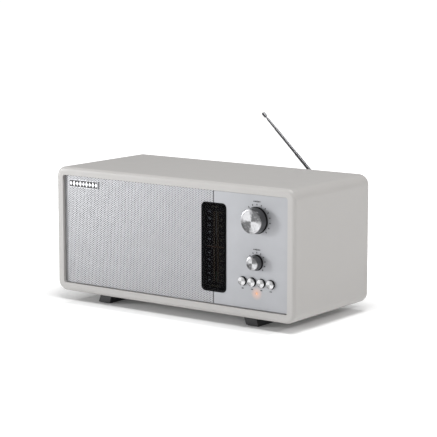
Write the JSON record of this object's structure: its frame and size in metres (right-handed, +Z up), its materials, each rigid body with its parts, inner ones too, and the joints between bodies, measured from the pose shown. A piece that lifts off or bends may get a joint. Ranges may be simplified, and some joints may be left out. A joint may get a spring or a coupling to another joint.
{
  "type": "tabletop radio",
  "caption": "Wide wooden-sleeve tabletop radio with a perforated grille, vertical tuning dial, two turned knobs, push buttons, splayed feet and a telescopic aerial.",
  "frame": {"origin": "centre of the bounding box in plan, on the surface that the rubber foot pads stand on", "axes": "+X to the radio's right as seen from the front, along its width; +Y from the front to the back; +Z up"},
  "size_m": [0.33, 0.1676, 0.2147],
  "materials": {
    "cabinet_finish": "satin warm light grey lacquer on a wooden sleeve",
    "foot_plastic": "matt black moulded plastic",
    "pad_rubber": "soft black rubber",
    "grille_metal": "silver perforated sheet",
    "plate_metal": "satin silver sheet",
    "cloth": "black speaker cloth",
    "board_wood": "plain fibre board",
    "badge_metal": "bright bar with a dark ground",
    "lens_plastic": "smoked gloss black",
    "scale_plastic": "black plate with pale marks",
    "pointer_plastic": "amber moulded plastic",
    "inside_steel": "zinc plated steel",
    "screw_steel": "dark zinc plated steel",
    "knob_aluminium": "turned bright aluminium",
    "button_metal": "turned bright caps",
    "white_plastic": "white moulded plastic",
    "cord_fibre": "waxed dial cord",
    "circuit_board": "green circuit board with dark parts",
    "amber_lens": "amber lamp lens",
    "magnet_ferrite": "dark ferrite and plated steel",
    "cone_paper": "black pulp cone",
    "surround_rubber": "black rubber roll",
    "back_plastic": "textured black panel",
    "jack_plastic": "black socket body",
    "antenna_chrome": "polished chrome tube",
    "ferrite_core": "black ferrite",
    "bushing_brass": "turned brass"
  },
  "bodies": {
    "cabinet": {"cabinet_shell": "cabinet_finish", "front_left_foot": "foot_plastic", "back_left_foot": "foot_plastic", "front_right_foot": "foot_plastic", "back_right_foot": "foot_plastic", "foot_pads": "pad_rubber", "foot_screws": "screw_steel", "speaker_grille": "grille_metal", "control_plate": "plate_metal", "grille_cloth": "cloth", "front_baffle": "board_wood", "baffle_screws": "screw_steel", "badge": "badge_metal", "dial_lens": "lens_plastic", "dial_scale_plate": "scale_plastic", "dial_backlight": "circuit_board", "pointer_rail": "inside_steel", "dial_chassis": "inside_steel", "tuning_capacitor": "white_plastic", "dial_cord": "cord_fibre", "tuning_bushing": "bushing_brass", "volume_control": "inside_steel", "control_board": "circuit_board", "indicator_lens": "amber_lens", "left_speaker_basket": "inside_steel", "left_speaker_magnet": "magnet_ferrite", "left_speaker_surround": "surround_rubber", "right_speaker_basket": "inside_steel", "right_speaker_magnet": "magnet_ferrite", "right_speaker_surround": "surround_rubber", "speaker_screws": "screw_steel", "back_panel": "back_plastic", "back_screws": "screw_steel", "aux_jack": "jack_plastic", "headphone_jack": "jack_plastic", "dc_jack": "jack_plastic", "main_board": "circuit_board", "ferrite_aerial": "ferrite_core", "ferrite_clips": "white_plastic", "antenna_bracket": "back_plastic"},
    "tuning": {"tuning_knob": "knob_aluminium", "tuning_shaft": "inside_steel"},
    "volume": {"volume_knob": "knob_aluminium", "volume_shaft": "inside_steel"},
    "pointer": {"dial_pointer": "pointer_plastic"},
    "drum": {"dial_drum": "white_plastic"},
    "upper_idler": {"upper_idler": "white_plastic"},
    "lower_idler": {"lower_idler": "white_plastic"},
    "power_button": {"power_button": "button_metal"},
    "band_button": {"band_button": "button_metal"},
    "seek_down_button": {"seek_down_button": "button_metal"},
    "seek_up_button": {"seek_up_button": "button_metal"},
    "left_cone": {"left_speaker_cone": "cone_paper"},
    "right_cone": {"right_speaker_cone": "cone_paper"},
    "antenna_swivel": {"antenna_swivel": "antenna_chrome", "antenna_hinge_pin": "antenna_chrome"},
    "antenna_mast": {"antenna_base_tube": "antenna_chrome"},
    "antenna_middle": {"antenna_middle_tube": "antenna_chrome"},
    "antenna_upper": {"antenna_upper_tube": "antenna_chrome"},
    "antenna_tip": {"antenna_tip_rod": "antenna_chrome"}
  },
  "joints": [
    {"name": "tuning_turn", "type": "hinge", "parent": "cabinet", "child": "tuning", "pos_m": [0.114, -0.0723, 0.1175], "axis": [0, 1, 0], "range_deg": [-540, 540]},
    {"name": "pointer_slide", "type": "slide", "parent": "cabinet", "child": "pointer", "axis": [0, 0, 1], "range_m": [-0.0377, 0.0377]},
    {"name": "drum_turn", "type": "hinge", "parent": "cabinet", "child": "drum", "pos_m": [0.098, -0.0257, 0.0605], "axis": [0, 1, 0], "range_deg": [-90, 90]},
    {"name": "upper_idler_turn", "type": "hinge", "parent": "cabinet", "child": "upper_idler", "pos_m": [0.0653, -0.0257, 0.1349], "axis": [0, 1, 0], "range_deg": [-270, 270]},
    {"name": "lower_idler_turn", "type": "hinge", "parent": "cabinet", "child": "lower_idler", "pos_m": [0.0653, -0.0257, 0.0305], "axis": [0, 1, 0], "range_deg": [-270, 270]},
    {"name": "volume_turn", "type": "hinge", "parent": "cabinet", "child": "volume", "pos_m": [0.114, -0.0723, 0.072], "axis": [0, 1, 0], "range_deg": [-150, 150]},
    {"name": "power_button_press", "type": "slide", "parent": "cabinet", "child": "power_button", "axis": [0, 1, 0], "range_m": [0, 0.0012], "stiffness_N_per_m": 800},
    {"name": "band_button_press", "type": "slide", "parent": "cabinet", "child": "band_button", "axis": [0, 1, 0], "range_m": [0, 0.0012], "stiffness_N_per_m": 800},
    {"name": "seek_down_button_press", "type": "slide", "parent": "cabinet", "child": "seek_down_button", "axis": [0, 1, 0], "range_m": [0, 0.0012], "stiffness_N_per_m": 800},
    {"name": "seek_up_button_press", "type": "slide", "parent": "cabinet", "child": "seek_up_button", "axis": [0, 1, 0], "range_m": [0, 0.0012], "stiffness_N_per_m": 800},
    {"name": "left_cone_move", "type": "slide", "parent": "cabinet", "child": "left_cone", "axis": [0, -1, 0], "range_m": [-0.002, 0.002], "stiffness_N_per_m": 2500, "deforming": ["left_speaker_surround"]},
    {"name": "right_cone_move", "type": "slide", "parent": "cabinet", "child": "right_cone", "axis": [0, -1, 0], "range_m": [-0.002, 0.002], "stiffness_N_per_m": 2500, "deforming": ["right_speaker_surround"]},
    {"name": "antenna_swivel_turn", "type": "hinge", "parent": "cabinet", "child": "antenna_swivel", "pos_m": [0.12, 0.0808, 0.1143], "axis": [0, 1, 0], "range_deg": [-43.4, 136.6]},
    {"name": "antenna_tilt", "type": "hinge", "parent": "antenna_swivel", "child": "antenna_mast", "pos_m": [0.12, 0.0808, 0.1143], "axis": [-0.6871, 0, -0.7266], "range_deg": [0, 90]},
    {"name": "antenna_middle_slide", "type": "slide", "parent": "antenna_mast", "child": "antenna_middle", "axis": [-0.7266, 0, 0.6871], "range_m": [-0.0375, 0.025]},
    {"name": "antenna_upper_slide", "type": "slide", "parent": "antenna_middle", "child": "antenna_upper", "axis": [-0.7266, 0, 0.6871], "range_m": [-0.0135, 0.047]},
    {"name": "antenna_tip_slide", "type": "slide", "parent": "antenna_upper", "child": "antenna_tip", "axis": [-0.7266, 0, 0.6871], "range_m": [-0.003, 0.0545]}
  ],
  "couplings": [
    {"joint": "tuning_turn", "follows": "pointer_slide", "rad_per_m": 250},
    {"joint": "drum_turn", "follows": "pointer_slide", "rad_per_m": 41.667},
    {"joint": "upper_idler_turn", "follows": "pointer_slide", "rad_per_m": 125},
    {"joint": "lower_idler_turn", "follows": "pointer_slide", "rad_per_m": 125}
  ]
}
